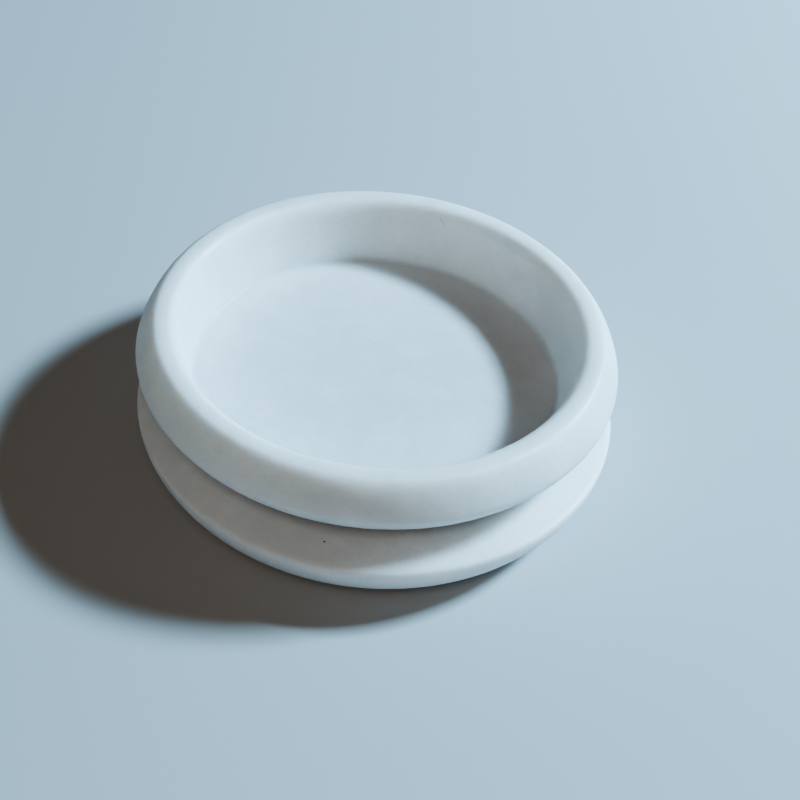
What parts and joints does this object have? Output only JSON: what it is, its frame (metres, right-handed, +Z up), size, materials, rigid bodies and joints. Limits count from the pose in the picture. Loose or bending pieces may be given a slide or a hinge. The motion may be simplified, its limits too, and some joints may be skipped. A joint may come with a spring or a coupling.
{
  "type": "resin casting mould",
  "caption": "Round white silicone casting moulds with flat floors, soft lips and swollen outer walls, a deeper one set down on the rim of a shallower one and lifting straight off.",
  "frame": {"origin": "middle of the lower mould's base, where the stack stands", "axes": "+Z up along the axis of each mould; +X to the right and +Y to the back, the way the upper mould stands off centre"},
  "size_m": [0.1195, 0.124, 0.0335],
  "materials": {
    "lower_silicone": "matt white silicone rubber",
    "upper_silicone": "matt white silicone rubber"
  },
  "bodies": {
    "lower": {"lower_mould": "lower_silicone"},
    "upper": {"upper_mould": "upper_silicone"}
  },
  "joints": [
    {"name": "upper_lift", "type": "slide", "parent": "lower", "child": "upper", "axis": [0, 0, 1], "range_m": [0, 0.06]}
  ]
}
